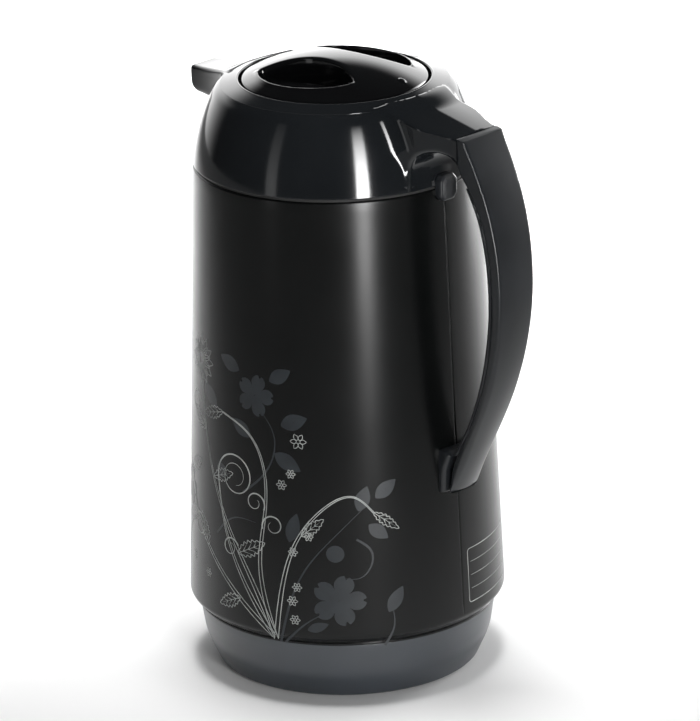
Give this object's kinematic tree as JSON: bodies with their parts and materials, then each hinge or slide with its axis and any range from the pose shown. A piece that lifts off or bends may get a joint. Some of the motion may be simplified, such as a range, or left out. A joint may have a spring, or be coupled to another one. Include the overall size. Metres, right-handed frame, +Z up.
{
  "type": "vacuum carafe",
  "caption": "Glass-lined vacuum carafe: tapered black steel body, glossy shoulder with spout, arched handle and a domed screw stopper that turns to pour.",
  "frame": {"origin": "on the body's axis, in the plane of the flat foot that it stands on", "axes": "+Z up along the body's axis, +X towards the handle, -X towards the spout, +Y to the left of the handle seen from the spout"},
  "size_m": [0.1718, 0.13, 0.2571],
  "materials": {
    "painted_steel": "satin black paint on drawn steel",
    "gloss_black": "polished black ABS",
    "collar_gloss": "polished charcoal ABS",
    "handle_satin": "satin charcoal polypropylene",
    "base_matte": "matte slate polypropylene",
    "natural_plastic": "natural polypropylene",
    "liner_glass": "silvered glass",
    "seal_silicone": "translucent silicone",
    "black_rubber": "moulded rubber",
    "foam": "expanded polystyrene",
    "steel": "bright zinc plate"
  },
  "bodies": {
    "pot": {"body_shell": "painted_steel", "base_ring": "base_matte", "bottom_cap": "base_matte", "liner_cushion": "black_rubber", "glass_liner": "liner_glass", "liner_tip": "liner_glass", "liner_spacer_pads": "foam", "neck_gasket": "seal_silicone", "collar": "collar_gloss", "spout_duct": "natural_plastic", "throat": "natural_plastic", "collar_screws": "steel", "body_packing": "black_rubber", "seam_clip": "handle_satin", "handle_shell": "handle_satin", "handle_liner": "handle_satin", "handle_bracket": "handle_satin", "bracket_backing_plate": "steel", "handle_low_screw": "steel"},
    "valve": {"valve_disc": "natural_plastic", "valve_seal": "seal_silicone"},
    "stopper": {"stopper_cover": "gloss_black", "stopper_plug": "natural_plastic", "stopper_foam": "foam", "stopper_base": "natural_plastic", "plug_seal": "seal_silicone", "stopper_screws": "steel", "valve_pivot": "steel"}
  },
  "joints": [
    {"name": "stopper_rise", "type": "slide", "parent": "pot", "child": "valve", "axis": [0, 0, 1], "range_m": [0, 0.048]},
    {"name": "stopper_turn", "type": "hinge", "parent": "valve", "child": "stopper", "pos_m": [0, 0, 0.2476], "axis": [0, 0, 1], "range_deg": [0, 1440]}
  ],
  "couplings": [
    {"joint": "stopper_rise", "follows": "stopper_turn", "m_per_rad": 0.0019099}
  ]
}
